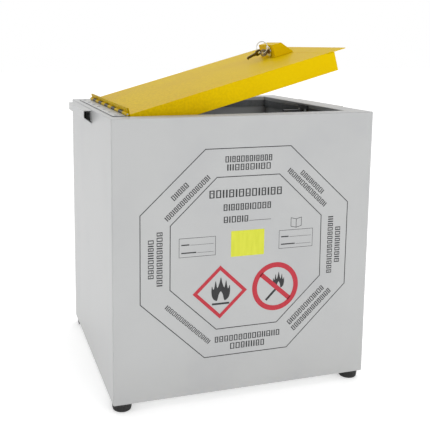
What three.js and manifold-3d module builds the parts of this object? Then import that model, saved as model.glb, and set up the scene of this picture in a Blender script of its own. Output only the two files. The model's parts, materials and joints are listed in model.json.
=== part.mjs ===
// Top-opening fire-resistant safety box for flammable products. Millimetres, +Z up, the front faces -Y.
// The origin is on the floor under the middle of the case. The case is a double-skinned steel box packed with
// insulation. The insulated lid plugs into its mouth, turns on a piano hinge along the left side, is held at any
// angle by a slotted quadrant stay, and locks at its free end with a hook that swings under a keeper.
import * as THREE from 'three';
import { mergeVertices } from 'three/addons/utils/BufferGeometryUtils.js';
import Module from 'manifold-3d';

const wasm = await Module();
wasm.setup();

// ---------- driving dimensions ----------
const gap = 0.3; // between faces that touch on the real box

const caseWidth = 500; // X
const caseDepth = 430; // Y
const caseHeight = 512; // Z, from the underside of the case to the deck
const skin = 1.5; // outer steel sheet
const linerSheet = 1.2;
const baseWall = 45; // from the underside of the case to the chamber floor

const rimFront = 34; // deck between the front face and the mouth
const rimBack = 38;
const rimRight = 42;
const hingeInset = 37; // left side to the hinge pin
const mouthPastPin = 2; // left edge of the mouth, to the right of the pin
const returnDepth = 25; // the deck's edge folded down into the mouth

const footHeight = 16;
const footRadius = 18.5;
const footInset = 20;
const footScrewRadius = 3;
const footScrewHead = 6; // radius
const footTaper = 1.5; // smaller radius at the floor
const footRecess = 7; // depth of the screw head's well
const footHeadHeight = 3.7;
const footScrewBeyond = 6; // shank above the base plate

const lidOpen = 15.5; // degrees at rest
const lidTravel = 70; // degrees from closed to fully open
const lidSheet = 1.5;
const lidSideGap = 3.5; // between the lid and the mouth, front and back
const lidEndGap = 9; // between the lid and the right edge of the mouth
const lidFlange = 37; // depth of the lid's folded sides
const upstand = 12; // low wall along the hinge side of the lid
const lipWidth = 39; // end plate that rests on the right rim
const lipPastEnd = 24;
const lipRest = 0.5; // lip above the deck when the lid is closed

const knuckleRadius = 3.2;
const pinRadius = 1.5;
const pinClearance = 0.25;
const knuckleCount = 11;
const knuckleGap = 0.6;
const leafSheet = 1.2;
const caseLeafWidth = 26;

const gripReach = 16;
const gripFace = 15; // height of the vertical outer face
const gripSlant = 11; // how far the underside drops towards the case
const gripLength = 190;
const gripBelowDeck = 2;
const gripSheet = 1.5;
const gripLeftMiddle = 60; // Y
const gripRightMiddle = 15; // Y

const stayRadius = 230; // slot's centre line about the hinge pin
const stayAngle = 14; // stud below the lid's plane with the lid closed, degrees
const stayWidth = 22;
const staySlotSpare = 0.5; // degrees of slot past the stud at each end of the travel
const stayEnds = { top: 8, bottom: 4.5 }; // degrees of sheet past the stud
const staySheet = 2.5;
const stayFromBack = 18.3; // quadrant's back face to the liner
const studRadius = 3;
const studShoulder = 8; // radius
const studPlate = { half: 13, under: 16, sheet: 2 }; // spot-welded to the liner
const studEnd = 1.5; // stud past the knob
const studClearance = 0.3;
const knobRadius = 13;
const knobHeight = 14;
const knobFlutes = 8;
const fluteRadius = 3.2;
const washerRadius = 11;
const washerSheet = 2.4;
const tabLength = 45; // quadrant's top flange, fixed to the underside of the lid
const tabDepth = 14;

const hoodLength = 41;
const hoodWidth = 68;
const hoodHeight = 26;
const hoodTop = 20; // flat length of its top before the slope
const hoodFromEnd = 14; // hood's toe to the end of the lid
const lockOffset = 12; // lock axis in front of the middle of the hood
const lockHeight = 13; // lock axis above the lid's panel
const barrelRadius = 9;
const barrelLength = 18;
const barrelFlange = { past: 2.5, thick: 1.8 }; // past: wider than the barrel, on its radius
const lockNut = { past: 2, thick: 4 };
const plugRadius = 5.6;
const plugClearance = 0.3;
const plugProud = 0.5;
const plugTail = 3.4; // half the side of the square end that carries the hook
const hookRadius = 37; // lock axis to the outside of the hook's toe
const toeDepth = 4;
const toeAngle = 25; // degrees
const hookArm = 6; // width
const hookSheet = 3;
const hookHub = 8; // radius
const toeBack = 5; // degrees of toe behind the arm's middle
const keeperSheet = 3;
const keeperSide = 16; // plate on either side of the finger
const keeperScrewIn = 7; // screw to the plate's end
const keeperScrewRadius = 2;
const keeperScrewHead = { radius: 3.8, height: 2.2 };
const fingerPastHook = 2.5; // finger's tip to the hook's near face
const fingerGap = 1.2; // finger to the side of the hook's arm
const keeperWidth = 8;
const keeperClear = 1.2; // between the keeper and the inside of the toe
const pocketClear = 4;

const keyThickness = 2;
const bowRadius = 7.5;
const bowHole = 3;
const bowRim = 2; // between the bow's hole and its end
const toothCount = 4;
const toothDepths = [1.2, 1.9];
const bladeWidth = 7.4;
const bladeInPlug = 17;
const bowNeck = 3; // lock's face to the edge of the bow
const ringRadius = 12;
const ringWire = 0.8;
const ringLean = 98; // ring's middle above the lid's plane as seen from the used key's hole, degrees
const ringTwist = 45; // ring's plane turned from the lock's axis, degrees
const spareAround = 40; // spare key's place round the ring from the used key, degrees
const spareFall = 12; // spare key below the lid's plane, degrees
const spareTilt = 0.8; // 0 square to the wire, larger stands the spare key up on edge

const trayClear = 9; // to the liner, all round
const trayHeight = 70;
const traySheet = 1.2;
const trayRim = 6;

const sealThickness = 1.6;
const sealWidth = 15;

// ---------- derived levels and places ----------
const left = -caseWidth / 2;
const right = caseWidth / 2;
const front = -caseDepth / 2;
const back = caseDepth / 2;
const floorLevel = footHeight; // underside of the case
const deck = floorLevel + caseHeight;

const pinX = left + hingeInset;
const pinZ = deck + knuckleRadius + gap;
const mouth = {
  x0: pinX + mouthPastPin,
  x1: right - rimRight,
  y0: front + rimFront,
  y1: back - rimBack,
};
// The liner's inner faces stand just behind the deck's folded edges.
const linerSet = skin + gap;
const chamber = {
  x0: mouth.x0 - linerSet,
  x1: mouth.x1 + linerSet,
  y0: mouth.y0 - linerSet,
  y1: mouth.y1 + linerSet,
  z0: floorLevel + baseWall,
  z1: deck - skin - gap,
};

// The lid is drawn closed, in its own frame: X from the hinge pin along the lid, Z up from the pin, Y shared.
const panelTop = deck + lipRest + lidSheet - pinZ;
const lidX0 = knuckleRadius + gap;
const lidX1 = mouth.x1 - lidEndGap - pinX;
const lidY0 = mouth.y0 + lidSideGap;
const lidY1 = mouth.y1 - lidSideGap;
const lidUnder = panelTop - lidFlange;
const lipX0 = lidX1 + lipPastEnd - lipWidth;

const hoodX1 = lidX1 - hoodFromEnd;
const hoodX0 = hoodX1 - hoodLength;
const hoodMiddle = (lidY0 + lidY1) / 2;
const lockY = hoodMiddle - lockOffset;
const lockZ = panelTop + lockHeight;
const hookX0 = hoodX0 + barrelLength + gap;
const keeperTop = lockZ - (hookRadius - toeDepth - keeperClear - keeperSheet - 1.5);
const pocket = {
  x0: hookX0 - 2 * pocketClear,
  y0: lockY - hookArm / 2 - keeperWidth - 2 * pocketClear,
  y1: lockY + hookRadius + pocketClear,
};

// ---------- shapes ----------
const block = (x0, x1, y0, y1, z0, z1) =>
  new THREE.BoxGeometry(x1 - x0, y1 - y0, z1 - z0).translate((x0 + x1) / 2, (y0 + y1) / 2, (z0 + z1) / 2);

// A cylinder or cone along an axis; at holds the other two coordinates, in X, Y, Z order.
function rod(axis, from, to, at, radius, segments = 24, radiusAtTo = radius) {
  const shape = new THREE.CylinderGeometry(radiusAtTo, radius, to - from, segments);
  const middle = (from + to) / 2;
  if (axis === 'x') return shape.rotateZ(-Math.PI / 2).translate(middle, at[0], at[1]);
  if (axis === 'z') return shape.rotateX(Math.PI / 2).translate(at[0], at[1], middle);
  return shape.translate(at[0], middle, at[1]);
}

// An outline in X and Z, carried along Y from y0 to y1.
const alongY = (shape, y0, y1, curveSegments = 12) =>
  new THREE.ExtrudeGeometry(shape, { depth: y1 - y0, bevelEnabled: false, curveSegments })
    .rotateX(Math.PI / 2)
    .translate(0, y1, 0);

// An outline in Y and Z, carried along X from x0 to x1.
const alongX = (shape, x0, x1, curveSegments = 12) =>
  new THREE.ExtrudeGeometry(shape, { depth: x1 - x0, bevelEnabled: false, curveSegments })
    .rotateX(Math.PI / 2)
    .rotateZ(Math.PI / 2)
    .translate(x0, 0, 0);

const outline = (points) => new THREE.Shape(points.map(([a, b]) => new THREE.Vector2(a, b)));

function toSolid(geometry) {
  const bare = geometry.clone();
  bare.deleteAttribute('normal');
  bare.deleteAttribute('uv');
  const merged = mergeVertices(bare, 1e-4);
  const mesh = new wasm.Mesh({
    numProp: 3,
    vertProperties: new Float32Array(merged.attributes.position.array),
    triVerts: new Uint32Array(merged.index.array),
  });
  return new wasm.Manifold(mesh);
}

function toGeometry(solid) {
  const mesh = solid.getMesh();
  const geometry = new THREE.BufferGeometry();
  geometry.setAttribute('position', new THREE.BufferAttribute(new Float32Array(mesh.vertProperties), 3));
  geometry.setIndex(Array.from(mesh.triVerts));
  const flat = geometry.toNonIndexed();
  flat.computeVertexNormals();
  return flat;
}

const join = (...shapes) => toGeometry(shapes.map(toSolid).reduce((all, one) => all.add(one)));
const cut = (shape, ...tools) =>
  toGeometry(tools.map(toSolid).reduce((all, one) => all.subtract(one), toSolid(shape)));

// ---------- finishes ----------
const finish = (color, roughness, metalness) => ({ color, roughness, metalness });
const greyPaint = finish(0xbcbebf, 0.45, 0.1);
const yellowPaint = finish(0xd4ad10, 0.3, 0.05);
const zinc = finish(0xb4b6b4, 0.35, 0.9);
const chrome = finish(0xd8d8da, 0.12, 1);
const brass = finish(0xc9a24c, 0.3, 1);
const insulation = finish(0xd9d2c4, 0.95, 0);
const rubber = finish(0x17171a, 0.8, 0);
const graphite = finish(0x3a3a3c, 0.9, 0);

const box = new THREE.Group();
const lid = new THREE.Group();
lid.position.set(pinX, 0, pinZ);
lid.rotation.y = -THREE.MathUtils.degToRad(lidOpen);
box.add(lid);

function piece(name, geometry, look, parent = box) {
  const mesh = new THREE.Mesh(geometry, new THREE.MeshStandardMaterial(look));
  mesh.name = name;
  parent.add(mesh);
  return mesh;
}

// ---------- outer case ----------
const underDeck = deck - skin - gap;
const inFront = front + skin + gap; // inside the front and back sheets
const inBack = back - skin - gap;

function addCase() {
  piece('front_panel', block(left, right, front, front + skin, floorLevel, underDeck), greyPaint);
  piece('back_panel', block(left, right, back - skin, back, floorLevel, underDeck), greyPaint);
  piece('left_panel', block(left, left + skin, inFront, inBack, floorLevel, underDeck), greyPaint);
  piece('right_panel', block(right - skin, right, inFront, inBack, floorLevel, underDeck), greyPaint);

  const plate = block(left + skin + gap, right - skin - gap, inFront, inBack, floorLevel, floorLevel + skin);
  const holes = footPlaces().map((at) =>
    rod('z', floorLevel - 1, floorLevel + skin + 1, at, footScrewRadius + gap, 16),
  );
  piece('base_plate', cut(plate, ...holes), greyPaint);
}

// The deck is one sheet with the mouth cut out and its edges folded down into the mouth.
function addDeck() {
  const sheet = cut(
    block(left, right, front, back, deck - skin, deck),
    block(mouth.x0, mouth.x1, mouth.y0, mouth.y1, deck - skin - 1, deck + 1),
  );
  const collar = cut(
    block(mouth.x0 - skin, mouth.x1 + skin, mouth.y0 - skin, mouth.y1 + skin, deck - returnDepth, deck - skin / 2),
    block(mouth.x0, mouth.x1, mouth.y0, mouth.y1, deck - returnDepth - 1, deck + 1),
  );
  const bore = keeperScrewRadius + gap;
  const screwHoles = keeperScrews().map((at) => rod('x', mouth.x1 - 1, mouth.x1 + skin + 1, at, bore, 12));
  piece('top_deck', cut(join(sheet, collar), ...screwHoles), greyPaint);
}

// ---------- insulation and liner ----------
const lx0 = chamber.x0 - linerSheet;
const lx1 = chamber.x1 + linerSheet;
const ly0 = chamber.y0 - linerSheet;
const ly1 = chamber.y1 + linerSheet;
const lz0 = chamber.z0 - linerSheet;

function addLiner() {
  const top = chamber.z1;
  piece('liner_front', block(lx0, lx1, ly0, chamber.y0, chamber.z0 + gap, top), greyPaint);
  piece('liner_back', block(lx0, lx1, chamber.y1, ly1, chamber.z0 + gap, top), greyPaint);
  const side = [chamber.y0 + gap, chamber.y1 - gap, chamber.z0 + gap, top];
  piece('liner_left', block(lx0, chamber.x0, ...side), greyPaint);
  piece('liner_right', block(chamber.x1, lx1, ...side), greyPaint);
  piece('liner_floor', block(lx0, lx1, ly0, ly1, lz0, chamber.z0), greyPaint);
}

function addInsulation() {
  const low = floorLevel + skin + gap;
  const top = underDeck - gap;
  const outX = [left + skin + gap, right - skin - gap];
  const wall = lz0;
  piece('front_insulation', block(outX[0], outX[1], inFront, ly0 - gap, wall, top), insulation);
  piece('back_insulation', block(outX[0], outX[1], ly1 + gap, inBack, wall, top), insulation);
  piece('left_insulation', block(outX[0], lx0 - gap, ly0, ly1, wall, top), insulation);
  piece('right_insulation', block(lx1 + gap, outX[1], ly0, ly1, wall, top), insulation);

  const board = block(outX[0], outX[1], inFront, inBack, low, lz0 - gap);
  const wellTop = low + footScrewBeyond + 3;
  const wells = footPlaces().map((at) => rod('z', low - 1, wellTop, at, footScrewRadius + 2, 12));
  piece('base_insulation', cut(board, ...wells), insulation);
}

// Strips that swell in a fire and close the gap round the lid. The right one is in two, either side of the keeper.
function addSeals() {
  const z0 = deck - returnDepth + 2;
  const z1 = z0 + sealWidth;
  const t = sealThickness;
  const keeperEnds = [keeperPlate.y0 - 4, keeperPlate.y1 + 4];
  const side = (name, x0, x1, y0, y1) => piece(name, block(x0, x1, y0, y1, z0, z1), graphite);
  const [x0, x1, y0, y1] = [mouth.x0 + gap, mouth.x1 - gap, mouth.y0 + gap, mouth.y1 - gap];
  side('seal_front', x0, x1, y0, y0 + t);
  side('seal_back', x0, x1, y1 - t, y1);
  side('seal_right_front', x1 - t, x1, y0 + t + gap, keeperEnds[0]);
  side('seal_right_back', x1 - t, x1, keeperEnds[1], y1 - t - gap);
}

// ---------- feet ----------
function footPlaces() {
  const x = right - footInset;
  const y = back - footInset;
  return [
    [-x, -y],
    [x, -y],
    [-x, y],
    [x, y],
  ];
}

function addFeet() {
  const names = ['front_left', 'front_right', 'back_left', 'back_right'];
  footPlaces().forEach((at, i) => {
    const body = rod('z', 0, floorLevel - gap, at, footRadius - footTaper, 32, footRadius);
    const bore = rod('z', -1, floorLevel + 1, at, footScrewRadius + gap, 16);
    const recess = rod('z', -1, footRecess, at, footScrewHead + 1, 16);
    piece(`foot_${names[i]}`, cut(body, bore, recess), rubber);

    const headTop = footRecess - gap;
    const shank = rod('z', headTop - 1, floorLevel + skin + footScrewBeyond, at, footScrewRadius, 16);
    const head = rod('z', headTop - footHeadHeight, headTop, at, footScrewHead, 16);
    piece(`foot_screw_${names[i]}`, join(shank, head), zinc);
  });
}

// ---------- carrying grips: hollow folded rails, open at both ends ----------
function addGrip(name, side, middle) {
  const top = deck - gripBelowDeck;
  const face = caseWidth / 2 + gap;
  const out = face + gripReach;
  const slope = gripSlant / gripReach;
  const rise = Math.hypot(1, slope); // height lost to one unit of sheet on the slanted underside
  const section = (inset) =>
    [
      [face + inset, top - inset],
      [out - inset, top - inset],
      [out - inset, top - gripFace + inset * (rise - slope)],
      [face + inset, top - gripFace - gripSlant + inset * (rise + slope)],
    ].map(([x, z]) => [side * x, z]);
  const shape = outline(section(0));
  shape.holes.push(outline(section(gripSheet).reverse())); // a hole runs the other way round
  piece(name, alongY(shape, middle - gripLength / 2, middle + gripLength / 2), greyPaint);
}

// ---------- piano hinge ----------
// The knuckles take turns along the pin: even ones belong to the lid, odd ones to the case.
function leaf(plate, owner) {
  const pitch = (lidY1 - lidY0) / knuckleCount;
  const clear = knuckleRadius + gap;
  const parts = [];
  const windows = [];
  for (let i = 0; i < knuckleCount; i++) {
    const y0 = lidY0 + i * pitch;
    const mine = i % 2 === owner;
    if (mine) parts.push(rod('y', y0 + knuckleGap / 2, y0 + pitch - knuckleGap / 2, [0, 0], knuckleRadius, 16));
    else windows.push(block(-clear, clear, y0 - knuckleGap / 2, y0 + pitch + knuckleGap / 2, -clear, clear));
  }
  const bore = rod('y', lidY0 - 1, lidY1 + 1, [0, 0], pinRadius + pinClearance, 16);
  return cut(join(cut(plate, ...windows), ...parts), bore);
}

function addHinge() {
  const under = -knuckleRadius;
  const casePlate = block(-caseLeafWidth, 0, lidY0, lidY1, under, under + leafSheet);
  piece('hinge_leaf_case', leaf(casePlate, 1).translate(pinX, 0, pinZ), greyPaint);

  const lidPlate = block(knuckleRadius - leafSheet, knuckleRadius, lidY0, lidY1, 0, panelTop + upstand);
  piece('hinge_leaf_lid', leaf(lidPlate, 0), yellowPaint, lid);
  piece('hinge_pin', rod('y', lidY0, lidY1, [pinX, pinZ], pinRadius, 12), zinc);
}

// ---------- lid ----------
function addLid() {
  const t = lidSheet;
  const under = panelTop - t;
  const y = [lidY0, lidY1];
  const step = under - gap - t; // the end of the panel is set down one sheet, so the lip lies flush on it
  const shell = join(
    block(lidX0, lipX0 - gap, ...y, under, panelTop),
    block(lipX0 - gap - t, lipX0 - gap, ...y, step, panelTop),
    block(lipX0 - gap - t, lidX1, ...y, step, step + t),
    block(lidX0, lidX0 + t, ...y, lidUnder, panelTop + upstand),
    block(lidX1 - t, lidX1, ...y, lidUnder, step + t),
    block(lidX0, lidX1, lidY0, lidY0 + t, lidUnder, step + t),
    block(lidX0, lidX1, lidY1 - t, lidY1, lidUnder, step + t),
    block(lidX0, lipX0 - gap, lidY0, lidY0 + t, lidUnder, panelTop),
    block(lidX0, lipX0 - gap, lidY1 - t, lidY1, lidUnder, panelTop),
  );
  const hookSlot = block(hookX0 - 1.5, hookX0 + hookSheet + 1.5, pocket.y0, pocket.y1, step - 1, panelTop + 1);
  const keeperNotch = block(
    lidX1 - t - 1, lidX1 + 1, keeperFinger.y0 - pocketClear, keeperFinger.y1 + pocketClear,
    lidUnder - 1, keeperTop + pocketClear,
  );
  piece('lid_shell', cut(shell, hookSlot, keeperNotch), yellowPaint, lid);
  piece('lid_lip', block(lipX0, lidX1 + lipPastEnd, ...y, under, panelTop), yellowPaint, lid);

  const inX = [lidX0 + t + gap, lidX1 - t - gap];
  const inY = [lidY0 + t + gap, lidY1 - t - gap];
  const hollow = block(pocket.x0, lidX1, pocket.y0, pocket.y1, lidUnder - 5, panelTop);
  const board = block(...inX, ...inY, lidUnder + linerSheet + gap, step - gap);
  piece('lid_insulation', cut(board, hollow), insulation, lid);
  const pan = block(...inX, ...inY, lidUnder, lidUnder + linerSheet);
  piece('lid_inner_pan', cut(pan, hollow), greyPaint, lid);
}

// ---------- quadrant stay ----------
function addStay() {
  const y1 = chamber.y1 - stayFromBack;
  const y0 = y1 - staySheet;
  const rad = THREE.MathUtils.degToRad;
  const outer = stayRadius + stayWidth / 2;
  const inner = stayRadius - stayWidth / 2;
  const slotHalf = studRadius + studClearance;
  const start = -rad(stayAngle - stayEnds.top);
  const end = -rad(stayAngle + lidTravel + stayEnds.bottom);
  const band = new THREE.Shape();
  band.absarc(0, 0, outer, start, end, true);
  band.absarc(0, 0, inner, end, start, false);
  band.closePath();

  const slot = new THREE.Shape();
  const s0 = -rad(stayAngle - staySlotSpare);
  const s1 = -rad(stayAngle + lidTravel + staySlotSpare);
  slot.absarc(0, 0, stayRadius + slotHalf, s0, s1, true);
  slot.absarc(stayRadius * Math.cos(s1), stayRadius * Math.sin(s1), slotHalf, s1, s1 - Math.PI, true);
  slot.absarc(0, 0, stayRadius - slotHalf, s1, s0, false);
  slot.absarc(stayRadius * Math.cos(s0), stayRadius * Math.sin(s0), slotHalf, s0 + Math.PI, s0, true);

  const top = lidUnder - gap;
  const tabX1 = Math.sqrt(outer * outer - top * top);
  const sheet = cut(
    alongY(band, y0, y1, 24),
    alongY(slot, y0 - 1, y1 + 1, 24),
    block(0, outer + 5, y0 - 1, y1 + 1, top, 5),
  );
  const tab = block(tabX1 - tabLength - 1, tabX1 - 1, y0 - tabDepth, y1, top - staySheet, top);
  piece('stay_quadrant', join(sheet, tab), zinc, lid);

  // The stud stands on the back liner. The quadrant slides between its shoulder and the washer.
  const at = [pinX + stayRadius * Math.cos(rad(stayAngle)), pinZ - stayRadius * Math.sin(rad(stayAngle))];
  const wallFace = chamber.y1 - gap;
  const knobY1 = y0 - washerSheet - 2 * gap;
  const knob = { y0: knobY1 - knobHeight, y1: knobY1 };
  const { half, under, sheet: plate } = studPlate;
  const base = block(at[0] - half, at[0] + half, wallFace - plate, wallFace, at[1] - under, at[1] + half);
  const shoulder = rod('y', y1 + gap, wallFace - 1, at, studShoulder, 20);
  const stud = rod('y', knob.y0 - studEnd, wallFace - 1, at, studRadius, 16);
  piece('stay_stud', join(base, shoulder, stud), zinc);

  const bore = rod('y', knob.y0 - 1, y0, at, studRadius + studClearance, 16);
  const washer = rod('y', knob.y1 + gap, y0 - gap, at, washerRadius, 24);
  piece('stay_washer', cut(washer, bore), zinc);
  const flutes = [];
  const fluteOut = knobRadius + fluteRadius / 2;
  for (let i = 0; i < knobFlutes; i++) {
    const a = (i / knobFlutes) * 2 * Math.PI;
    const place = [at[0] + fluteOut * Math.cos(a), at[1] + fluteOut * Math.sin(a)];
    flutes.push(rod('y', knob.y0 - 1, knob.y1 + 1, place, fluteRadius, 10));
  }
  piece('stay_knob', cut(rod('y', knob.y0, knob.y1, at, knobRadius, 32), bore, ...flutes), rubber);
}

// ---------- keeper on the right rim, in the case's frame ----------
const fingerY1 = lockY - hookArm / 2 - fingerGap;
const keeperFinger = { y0: fingerY1 - keeperWidth, y1: fingerY1 };
const keeperPlate = {
  y0: keeperFinger.y0 - keeperSide,
  y1: keeperFinger.y1 + keeperSide,
  z0: deck - returnDepth,
  z1: deck - 2 * skin,
};

function keeperScrews() {
  const z = (keeperPlate.z0 + keeperPlate.z1) / 2;
  return [
    [keeperPlate.y0 + keeperScrewIn, z],
    [keeperPlate.y1 - keeperScrewIn, z],
  ];
}

function addKeeper() {
  const face = mouth.x1 - gap;
  const plate = block(face - keeperSheet, face, keeperPlate.y0, keeperPlate.y1, keeperPlate.z0, keeperPlate.z1);
  const z1 = pinZ + keeperTop;
  const tip = pinX + hookX0 - fingerPastHook;
  const finger = block(tip, face - 1, keeperFinger.y0, keeperFinger.y1, z1 - keeperSheet, z1);
  const bore = keeperScrewRadius + gap;
  const holes = keeperScrews().map((at) => rod('x', face - keeperSheet - 1, face + 1, at, bore, 12));
  piece('keeper', cut(join(plate, finger), ...holes), zinc);
  keeperScrews().forEach((at, i) => {
    const seat = face - keeperSheet - gap;
    const head = rod('x', seat - keeperScrewHead.height, seat, at, keeperScrewHead.radius, 20);
    const shank = rod('x', seat - 1, mouth.x1 + linerSet - gap, at, keeperScrewRadius, 12);
    piece(`keeper_screw_${i + 1}`, join(head, shank), zinc);
  });
}

// ---------- lock ----------
function addLock() {
  const t = lidSheet;
  const z0 = panelTop + gap;
  const z1 = panelTop + hoodHeight;
  const y0 = hoodMiddle - hoodWidth / 2;
  const y1 = hoodMiddle + hoodWidth / 2;
  const wedge = outline([
    [hoodX0, z0],
    [hoodX1, z0],
    [hoodX1, z0 + 2],
    [hoodX0 + hoodTop, z1],
    [hoodX0, z1],
  ]);
  const inside = outline([
    [hoodX0 + t, z0 - 1],
    [hoodX1 - 3 * t, z0 - 1],
    [hoodX1 - 3 * t, z0 + 1.5],
    [hoodX0 + hoodTop - t / 2, z1 - t],
    [hoodX0 + t, z1 - t],
  ]);
  const at = [lockY, lockZ];
  const hole = rod('x', hoodX0 - 1, hoodX0 + t + 1, at, barrelRadius + gap, 32);
  piece('lock_hood', cut(alongY(wedge, y0, y1), alongY(inside, y0 + t, y1 - t), hole), yellowPaint, lid);

  const barrelEnd = hoodX0 + barrelLength;
  const flangeFace = hoodX0 - gap - barrelFlange.thick;
  const bore = rod('x', flangeFace - 2, barrelEnd + 1, at, plugRadius + plugClearance, 24);
  const flange = rod('x', flangeFace, hoodX0 - gap, at, barrelRadius + barrelFlange.past, 32);
  const body = rod('x', hoodX0 - gap - 1, barrelEnd, at, barrelRadius, 32);
  piece('lock_barrel', cut(join(flange, body), bore), chrome, lid);

  const nutX0 = hoodX0 + t + gap;
  const nutX1 = nutX0 + lockNut.thick;
  const nut = rod('x', nutX0, nutX1, at, barrelRadius + lockNut.past, 6);
  piece('lock_nut', cut(nut, rod('x', nutX0 - 1, nutX1 + 1, at, barrelRadius + gap, 32)), zinc, lid);

  const slotDeep = bladeInPlug + 1;
  const plugFace = flangeFace - plugProud;
  const tail = plugTail;
  const plug = join(
    rod('x', plugFace, barrelEnd + gap, at, plugRadius, 24),
    block(barrelEnd, hookX0 + hookSheet + 1, lockY - tail, lockY + tail, lockZ - tail, lockZ + tail),
  );
  const keySlot = block(
    plugFace - 1, plugFace + slotDeep, lockY - keyThickness / 2 - gap, lockY + keyThickness / 2 + gap,
    lockZ - bladeWidth / 2 - gap, lockZ + bladeWidth / 2 + gap,
  );
  piece('lock_plug', cut(plug, keySlot), brass, lid);
  addHook();
  addKeys(plugFace);
}

// The hook lies level towards the back when unlocked. A quarter turn carries its toe under the keeper.
function addHook() {
  const rad = THREE.MathUtils.degToRad;
  const inner = hookRadius - toeDepth;
  const toe = new THREE.Shape();
  toe.absarc(0, 0, hookRadius, -rad(toeAngle), rad(toeBack), false);
  toe.absarc(0, 0, inner, rad(toeBack), -rad(toeAngle), true);
  toe.closePath();
  const place = (geometry) => geometry.translate(0, lockY, lockZ);
  const arm = block(hookX0, hookX0 + hookSheet, 0, inner + 1, -hookArm / 2, hookArm / 2);
  const hub = rod('x', hookX0, hookX0 + hookSheet, [0, 0], hookHub, 24);
  const square = plugTail + gap;
  const hole = block(hookX0 - 1, hookX0 + hookSheet + 1, -square, square, -square, square);
  piece('hook_cam', place(cut(join(hub, arm, alongX(toe, hookX0, hookX0 + hookSheet)), hole)), zinc, lid);
}

// A flat key in X and Y about the middle of its bow hole, with its blade towards +X.
function keyShape(bladeLength) {
  const half = bladeWidth / 2;
  const shape = new THREE.Shape();
  const neck = Math.asin(half / bowRadius);
  const middle = bowRadius - bowHole - bowRim;
  shape.absarc(middle, 0, bowRadius, neck, 2 * Math.PI - neck, false);
  const root = middle + bowRadius;
  const tip = root + bladeLength;
  const pitch = bladeInPlug / (toothCount + 1);
  for (let i = 0; i < toothCount; i++) {
    const x = tip - bladeInPlug + i * pitch;
    const cutTo = -half + toothDepths[i % 2];
    shape.lineTo(x, -half);
    shape.lineTo(x + pitch / 3, cutTo);
    shape.lineTo(x + (2 * pitch) / 3, cutTo);
    shape.lineTo(x + pitch, -half);
  }
  shape.lineTo(tip - 2, -half);
  shape.lineTo(tip, 0);
  shape.lineTo(tip - 2, half);
  shape.closePath();
  shape.holes.push(new THREE.Path().absarc(0, 0, bowHole, 0, 2 * Math.PI, true));
  const flat = new THREE.ExtrudeGeometry(shape, { depth: keyThickness, bevelEnabled: false, curveSegments: 14 });
  return { geometry: flat.translate(0, 0, -keyThickness / 2), tip };
}

function addKeys(plugFace) {
  const rad = THREE.MathUtils.degToRad;
  const used = keyShape(bowNeck + bladeInPlug);
  const hole = new THREE.Vector3(plugFace + bladeInPlug - used.tip, lockY, lockZ);
  piece('key', used.geometry.rotateX(Math.PI / 2).translate(...hole), zinc, lid);

  // The ring stands in the used key's hole, in the plane of up and across. The spare key hangs lower on its left.
  const up = new THREE.Vector3(-Math.cos(rad(ringLean)), 0, Math.sin(rad(ringLean)));
  const across = new THREE.Vector3(Math.sin(rad(ringTwist)), -Math.cos(rad(ringTwist)), 0);
  across.addScaledVector(up, -across.dot(up)).normalize();
  const middle = hole.clone().addScaledVector(up, ringRadius);
  const place = (x, y, at) => new THREE.Matrix4().makeBasis(x, y, x.clone().cross(y)).setPosition(at);
  const wire = new THREE.TorusGeometry(ringRadius, ringWire, 8, 36).applyMatrix4(place(across, up, middle));
  piece('key_ring', wire, chrome, lid);

  const around = rad(spareAround);
  const at = middle.clone().addScaledVector(up, -ringRadius * Math.cos(around));
  at.addScaledVector(across, -ringRadius * Math.sin(around));
  const along = new THREE.Vector3(-Math.cos(rad(spareFall)), 0, -Math.sin(rad(spareFall)));
  const face = up.clone().multiplyScalar(Math.sin(around)).addScaledVector(across, -Math.cos(around));
  face.addScaledVector(along, -face.dot(along));
  face.y += spareTilt;
  face.normalize();
  const spare = keyShape(bowNeck + bladeInPlug).geometry;
  piece('spare_key', spare.applyMatrix4(place(along, face.clone().cross(along), at)), zinc, lid);
}

// ---------- spill tray ----------
function addTray() {
  const x = [chamber.x0 + trayClear, chamber.x1 - trayClear];
  const y = [chamber.y0 + trayClear, chamber.y1 - trayClear];
  const z0 = chamber.z0 + gap;
  const z1 = z0 + trayHeight;
  const t = traySheet;
  const flange = block(x[0], x[1], ...y, z1 - t, z1);
  const tub = block(x[0] + trayRim, x[1] - trayRim, y[0] + trayRim, y[1] - trayRim, z0, z1);
  const inner = trayRim + t;
  const well = block(x[0] + inner, x[1] - inner, y[0] + inner, y[1] - inner, z0 + t, z1 + 1);
  piece('spill_tray', cut(join(flange, tub), well), zinc);
}

addCase();
addDeck();
addLiner();
addInsulation();
addSeals();
addFeet();
addGrip('grip_left', -1, gripLeftMiddle);
addGrip('grip_right', 1, gripRightMiddle);
addHinge();
addLid();
addStay();
addKeeper();
addLock();
addTray();

export default box;
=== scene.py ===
import json
import math
import bmesh
import bpy
import numpy as np
from mathutils import Matrix, Vector


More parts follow.
